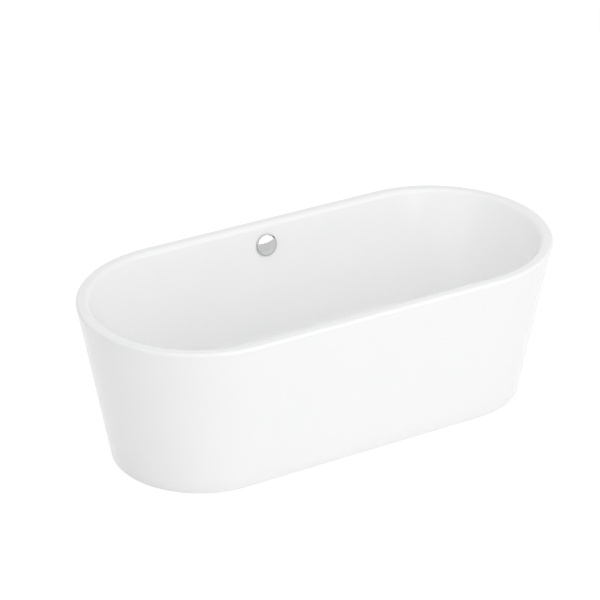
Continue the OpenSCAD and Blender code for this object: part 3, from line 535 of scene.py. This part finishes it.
HOLE_R, CUT_REACH, HOLE_STEPS = 0.025, 0.015, 64
drum = [[0, -CUT_REACH], [HOLE_R, -CUT_REACH], [HOLE_R, CUT_REACH], [0, CUT_REACH]]
cutter = piece_from("cutter", turned(drum, OVERFLOW, OUT, ACROSS, UP, HOLE_STEPS), [acrylic])
cut = tub.modifiers.new("overflow", "BOOLEAN")
cut.object = cutter
cut.solver = "EXACT"
bpy.context.view_layer.update()
drilled = bpy.data.meshes.new_from_object(tub.evaluated_get(bpy.context.evaluated_depsgraph_get()))
tub.modifiers.clear()
tub.data = drilled
bpy.data.objects.remove(cutter)
tub.data.shade_smooth()
tub.data.set_sharp_from_angle(angle=math.radians(SHARP_FROM))
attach(tub, "bath")
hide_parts("tub_shell")
print("tub faces", len(tub.data.polygons), "overflow at", OVERFLOW.round(4).tolist())

# %% [markdown]
# ## The skirt
# The skirt is one sheet bent round and bonded, with straight sides and conical ends. Its foot is
# turned inwards as a flange, with a small radius where the sheet was bent.

# %% Skirt
base_in = outer_inset(SKIRT_GAP)
flange_top = SKIRT_GAP + SKIRT_WALL
BEND_R, BEND_STEPS, SHEET_STEPS = 0.002, 4, 12
wall_foot = [outer_inset(SKIRT_GAP + BEND_R), SKIRT_GAP + BEND_R]
wall_line = line(wall_foot, [outer_inset(SKIRT_TOP), SKIRT_TOP], SHEET_STEPS)
foot_arc = arc(base_in + BEND_R, wall_foot[1], BEND_R, 1.5 * math.pi, math.pi + LEAN, BEND_STEPS)
skirt_profile = np.concatenate(
    [
        [[base_in + SKIRT_FLANGE, flange_top], [base_in + SKIRT_FLANGE, SKIRT_GAP]],
        foot_arc,
        wall_line[1:],
        wall_line[::-1] + [SKIRT_WALL, 0],
    ]
)
skirt_profile[-1, 1] = flange_top
skirt = piece_from("skirt_formed", rings(skirt_profile, skirt_profile, RUN), [acrylic], closed_rows=True)
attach(skirt, "bath")
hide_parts("outer_skirt")

# %% [markdown]
# ## The knob
# The knob and the plug are turned and chromed, so their whole look is what they reflect. A lathe
# turns a profile round an axis, and so does the function above. Each edge gets a real radius,
# because chrome shows an edge as a bright or dark line. The knob's face is a polished dome with a
# fine groove round it, and the ring outside the groove is satin, its chrome darkened as painted shade.


# %% Knob
EDGE_ROWS, RING_ROWS = 6, 4


def rounded(centre_r, centre_h, radius, start):
    """Edge of a turned profile, as (radius, height) rows: an arc from start degrees out to level."""
    return arc(centre_r, centre_h, radius, math.radians(start), 0, EDGE_ROWS)


def dome(edge_r, apex, radius, steps=24):
    """Rows of a dome from its middle outwards: h = apex - R + sqrt(R^2 - r^2)."""
    r = np.linspace(0, edge_r, steps + 1)
    return np.stack([r, apex - radius + np.sqrt(radius**2 - r**2)], axis=1)


KNOB_R, KNOB_BACK, KNOB_TOP, KNOB_DOME = 0.039, 0.003, 0.011, 0.100
FACE_R, GROOVE, RING_STEP, RING_FALL, RING_ROUND = 0.0342, 0.0002, 0.0003, 0.0003, 0.0008
HOLLOW_R, HOLLOW_H, HUB_R, HUB_H, BORE_R, BORE_H = 0.033, 0.0045, 0.007, 0.0037, 0.004, 0.0068
KNOB_COLUMNS, KNOB_EDGE_FROM = 144, 84
face = dome(FACE_R, KNOB_TOP, KNOB_DOME)
ring_h = face[-1, 1] - RING_STEP
edge = np.concatenate(
    [
        [[FACE_R + GROOVE, ring_h]],
        line([FACE_R + 2 * GROOVE, ring_h], [KNOB_R - RING_ROUND, ring_h - RING_FALL], RING_ROWS),
        rounded(KNOB_R - RING_ROUND, ring_h - RING_FALL - RING_ROUND, RING_ROUND, KNOB_EDGE_FROM),
        [[KNOB_R, KNOB_BACK], [HOLLOW_R, KNOB_BACK], [HOLLOW_R, HOLLOW_H], [HUB_R, HOLLOW_H]],
        [[HUB_R, HUB_H], [BORE_R, HUB_H], [BORE_R, BORE_H], [0.0, BORE_H]],
    ]
)
knob_profile = np.concatenate([face, edge])
# Rows of the ring, whose satin chrome is darkened as painted shade
satin_and_shade_rows = (np.arange(len(knob_profile) - 1) >= len(face) - 1).astype(int)
knob_grid = turned(knob_profile, OVERFLOW, OUT, ACROSS, UP, KNOB_COLUMNS)
# The third finish is painted reflection: a dark mark on the ring standing for a dark reflection in the
# chrome
knob = piece_from("knob_turned", knob_grid, [chrome, satin_and_shade, painted_reflection], satin_and_shade_rows, sharp=TURNED_SHARP)
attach(knob, "knob")
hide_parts("overflow_knob")

# %% [markdown]
# ## A painted reflection on the ring
# A short dark mark on the ring is painted reflection, standing for a dark reflection in the
# chrome, so there is no shape to model: the ring's faces between two angles get the painted
# dark finish. Their centres are read as one array and measured along the knob's
# own axes.

# %% Painted reflection on the ring
# Angles round the knob between which the dark reflection is painted
REFLECTION_FROM, REFLECTION_TO = math.radians(30), math.radians(47.5)
PAINTED_REFLECTION_FINISH = 2
tiles = knob.data.polygons
centres = np.empty(3 * len(tiles), dtype=np.float32)
tiles.foreach_get("center", centres)
from_middle = centres.reshape(-1, 3) - OVERFLOW
high, right, upward = (from_middle @ axis for axis in (OUT, ACROSS, UP))
around = np.arctan2(upward, right)
on_ring = (np.hypot(right, upward) > FACE_R) & (high > ring_h - RING_FALL) & (high < ring_h)
on_painted_reflection = on_ring & (around > REFLECTION_FROM) & (around < REFLECTION_TO)
tile_finish = np.empty(len(tiles), dtype=np.int32)
tiles.foreach_get("material_index", tile_finish)
tile_finish[on_painted_reflection] = PAINTED_REFLECTION_FINISH
tiles.foreach_set("material_index", tile_finish)
# Counts the faces that carry the painted reflection
print("index line on", int(on_painted_reflection.sum()), "faces")

# %% [markdown]
# ## The plug
# The plug is a cap of chromed brass that rises on its stem when the knob is turned. Its top is a
# very flat dome, so that water runs off it. The dome's radius follows from the cap's radius r and
# its rise h, as (r^2 + h^2) / 2h. The seal under it keeps the shape that was packed.

# %% Plug
PLUG_R, PLUG_UNDER, PLUG_EDGE, PLUG_RISE, PLUG_ROUND = 0.036, 0.1366, 0.002, 0.003, 0.0008
STEM_R, STEM_FOOT = 0.004, 0.08463
PLUG_COLUMNS, PLUG_EDGE_FROM = 96, 80
plug_dome = (PLUG_R**2 + PLUG_RISE**2) / (2 * PLUG_RISE)
cap = dome(PLUG_R - PLUG_ROUND, PLUG_UNDER + PLUG_EDGE + PLUG_RISE, plug_dome)
plug_profile = np.concatenate(
    [
        cap,
        rounded(PLUG_R - PLUG_ROUND, cap[-1, 1] - PLUG_ROUND, PLUG_ROUND, PLUG_EDGE_FROM),
        [[PLUG_R, PLUG_UNDER], [STEM_R, PLUG_UNDER], [STEM_R, STEM_FOOT], [0, STEM_FOOT]],
    ]
)
WASTE = np.array([FITTING_X, 0, 0])
NORTH = np.array([0.0, 1.0, 0.0])
AXIS = np.array([0.0, 0.0, 1.0])
plug_grid = turned(plug_profile, WASTE, AXIS, ACROSS, NORTH, PLUG_COLUMNS)
plug = piece_from("plug_turned", plug_grid, [chrome], sharp=TURNED_SHARP)
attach(plug, "plug")
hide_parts("drain_plug")

# %% [markdown]
# ## Threaded studs
# The feet stand on M12 studs. Round the stud the radius follows a trapezium wave of the height
# less the pitch times the turn, so its crests wind up to the right. The hexagon for the spanner
# has the same grid: its radius is the flat's distance over the cosine of the angle from the flat.

# %% Studs
STUD_R, PITCH, DEPTH = 0.006, 0.00175, 0.0010
STUD_LOW, STUD_HIGH, HEX_LOW, HEX_HIGH, HEX_R = 0.006, 0.084, 0.020, 0.028, 0.0108
CHAMFER = 0.001
STUD_COLUMNS, ROWS_A_TURN = 48, 10


def stud(name, x, y):
    """A threaded stud: r = crest - depth * clip(3 |2 frac(z / pitch - turn) - 1| - 1, 0, 1)."""
    turn = np.arange(STUD_COLUMNS) / STUD_COLUMNS
    from_flat = (turn * 6 % 1 - 0.5) * math.radians(60)
    hexagon = HEX_R * math.cos(math.radians(30)) / np.cos(from_flat)
    heights = np.arange(HEX_HIGH, STUD_HIGH - PITCH / 2, PITCH / ROWS_A_TURN)
    wave = np.abs(2 * ((heights[:, None] / PITCH - turn) % 1) - 1)
    thread = STUD_R - DEPTH * np.clip(3 * wave - 1, 0, 1)
    plain = np.ones(STUD_COLUMNS)
    radius = np.concatenate(
        [
            [0 * plain, (STUD_R - CHAMFER) * plain, STUD_R * plain, STUD_R * plain],
            [hexagon, hexagon, np.minimum(thread[0], hexagon)],
            thread[1:],
            [(STUD_R - DEPTH) * plain, 0 * plain],
        ]
    )
    foot_rows = [STUD_LOW, STUD_LOW, STUD_LOW + CHAMFER, HEX_LOW, HEX_LOW, HEX_HIGH, HEX_HIGH]
    rows = np.array([*foot_rows, *heights[1:], STUD_HIGH, STUD_HIGH])
    angle = 2 * math.pi * turn
    z = np.broadcast_to(rows[:, None], radius.shape)
    grid = np.stack([x + radius * np.cos(angle), y + radius * np.sin(angle), z], axis=-1)
    return piece_from(name, grid, [zinc], sharp=40)


FOOT_X, FOOT_Y = 0.400, 0.230
CORNERS = {1: (-1, -1), 2: (1, -1), 3: (-1, 1), 4: (1, 1)}
for k, (x, y) in CORNERS.items():
    made = stud(f"stud_threaded_{k}", x * FOOT_X, y * FOOT_Y)
    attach(made, f"stud_{k}")
    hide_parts(f"foot_stud_{k}")

# %% [markdown]
# ## The floor
# The bath stands on a wide sheet of studio paper. The camera and mirrors see it as nearly white: a
# glow, and a little diffuse light on top that still takes the bath's shadow. Every other ray meets
# plain matt paper, which throws light up at the walls as paper does.


# %% Floor
def seen_directly(tree):
    """1 for the rays of the camera and for mirrored or refracted ones, and 0 for all others."""
    rays = add(tree, "ShaderNodeLightPath").outputs
    seen = rays["Is Camera Ray"]
    for kind in ("Is Glossy Ray", "Is Transmission Ray"):
        seen = add(tree, "ShaderNodeMath", {0: seen, 1: rays[kind]}, operation="MAXIMUM").outputs[0]
    return seen


FLOOR_HALF = 12.0
FLOOR_GLOW, FLOOR_SHADE = 0.72, 0.45
CORNER_SIGNS = ((-1, -1), (1, -1), (1, 1), (-1, 1))
floor_mesh = bpy.data.meshes.new("floor")
floor_mesh.from_pydata([(x * FLOOR_HALF, y * FLOOR_HALF, 0) for x, y in CORNER_SIGNS], [], [(0, 1, 2, 3)])
floor = bpy.data.objects.new("floor", floor_mesh)
bpy.context.scene.collection.objects.link(floor)
paper, tree, shader, place = new_finish("studio_paper", Roughness=1.0)
shader.inputs["Base Color"].default_value = linear("#f2f2f2")
glow = add(tree, "ShaderNodeEmission", {"Strength": FLOOR_GLOW})
shade = add(tree, "ShaderNodeBsdfDiffuse", {"Color": (FLOOR_SHADE, FLOOR_SHADE, FLOOR_SHADE, 1)})
lit = add(tree, "ShaderNodeAddShader", {0: glow.outputs[0], 1: shade.outputs[0]})
choice = add(tree, "ShaderNodeMixShader", {0: seen_directly(tree), 1: shader.outputs[0], 2: lit.outputs[0]})
tree.links.new(choice.outputs[0], tree.nodes["Material Output"].inputs["Surface"])
floor.data.materials.append(paper)
print("floor", 2 * FLOOR_HALF, "metres across")

# %% [markdown]
# ## Room and lamps
# White on white shows its form only by small steps of tone. The camera and mirrors see a white
# room, but every other ray meets a dimmer one, so that the lamps can shape the form. They are
# large and soft, because a polished wall shows a small lamp as a hard spot. Two stand in front,
# low and high, and make the front wall an even white. The others set the tone of the ends, of the
# rim and of the inside.

# %% World and lamps
ROOM_SEEN, ROOM_LIGHT = 1.0, 0.558
world = bpy.data.worlds.new("studio")
bpy.context.scene.world = world
world.use_nodes = True
tree = world.node_tree
air = tree.nodes["Background"]
both = {"Value": seen_directly(tree), "To Min": ROOM_LIGHT, "To Max": ROOM_SEEN}
level = add(tree, "ShaderNodeMapRange", both)
tree.links.new(level.outputs["Result"], air.inputs["Strength"])
air.inputs["Color"].default_value = (1, 1, 1, 1)


def lamp(name, place, target, wide, high, watts):
    """A rectangular soft lamp at a place, turned to face a target."""
    made = bpy.data.lights.new(name, "AREA")
    made.shape = "RECTANGLE"
    made.size, made.size_y, made.energy = wide, high, watts
    body = bpy.data.objects.new(name, made)
    body.location = place
    body.rotation_mode = "QUATERNION"
    body.rotation_quaternion = (Vector(target) - Vector(place)).to_track_quat("-Z", "Y")
    bpy.context.scene.collection.objects.link(body)
    return body


MIDDLE = (0, 0, 0.4)
LAMPS = {
    "low_front": ((1.0, -5.6, 0.9), MIDDLE, 5.6, 3.2, 48.5),
    "high_front": ((1.0, -4.6, 3.4), MIDDLE, 5.2, 2.6, 50),
    "right": ((4.4, -3.0, 1.4), MIDDLE, 3.6, 3.6, 11.5),
    "left": ((-5.0, -3.1, 3.1), MIDDLE, 5.6, 5.6, 47),
    "top": ((0.3, -0.5, 4.2), MIDDLE, 3.0, 3.0, 25.6),
    "back_left": ((-2.6, 3.4, 2.6), MIDDLE, 2.4, 2.4, 6.7),
}
lamps = [lamp(name, *where) for name, where in LAMPS.items()]
print("room", ROOM_LIGHT, "watts", [made.data.energy for made in lamps])

# %% [markdown]
# ## Camera
# The camera stands well back with a long lens, as for a catalogue, so that the far end of the bath
# is hardly smaller than the near one. Its place is two angles and a distance from a point that it
# looks at: the angle round the upright axis from straight in front, and the height above level.

# %% Camera
AZIMUTH, ELEVATION = -0.5199, 0.4818
DISTANCE = 8.2322
TARGET = Vector((-0.1787, -0.1794, 0.5588))
SENSOR_WIDTH, LENS = 36, 153.11
back = Vector(
    (
        math.sin(AZIMUTH) * math.cos(ELEVATION),
        -math.cos(AZIMUTH) * math.cos(ELEVATION),
        math.sin(ELEVATION),
    )
)
camera = bpy.data.cameras.new("camera")
camera.sensor_width = SENSOR_WIDTH
camera.lens = LENS
stand = bpy.data.objects.new("camera", camera)
stand.location = TARGET + back * DISTANCE
stand.rotation_mode = "QUATERNION"
stand.rotation_quaternion = (-back).to_track_quat("-Z", "Y")
bpy.context.scene.collection.objects.link(stand)
bpy.context.scene.camera = stand
bpy.context.scene.view_settings.view_transform = "Standard"
print("camera at", [round(v, 3) for v in stand.location])
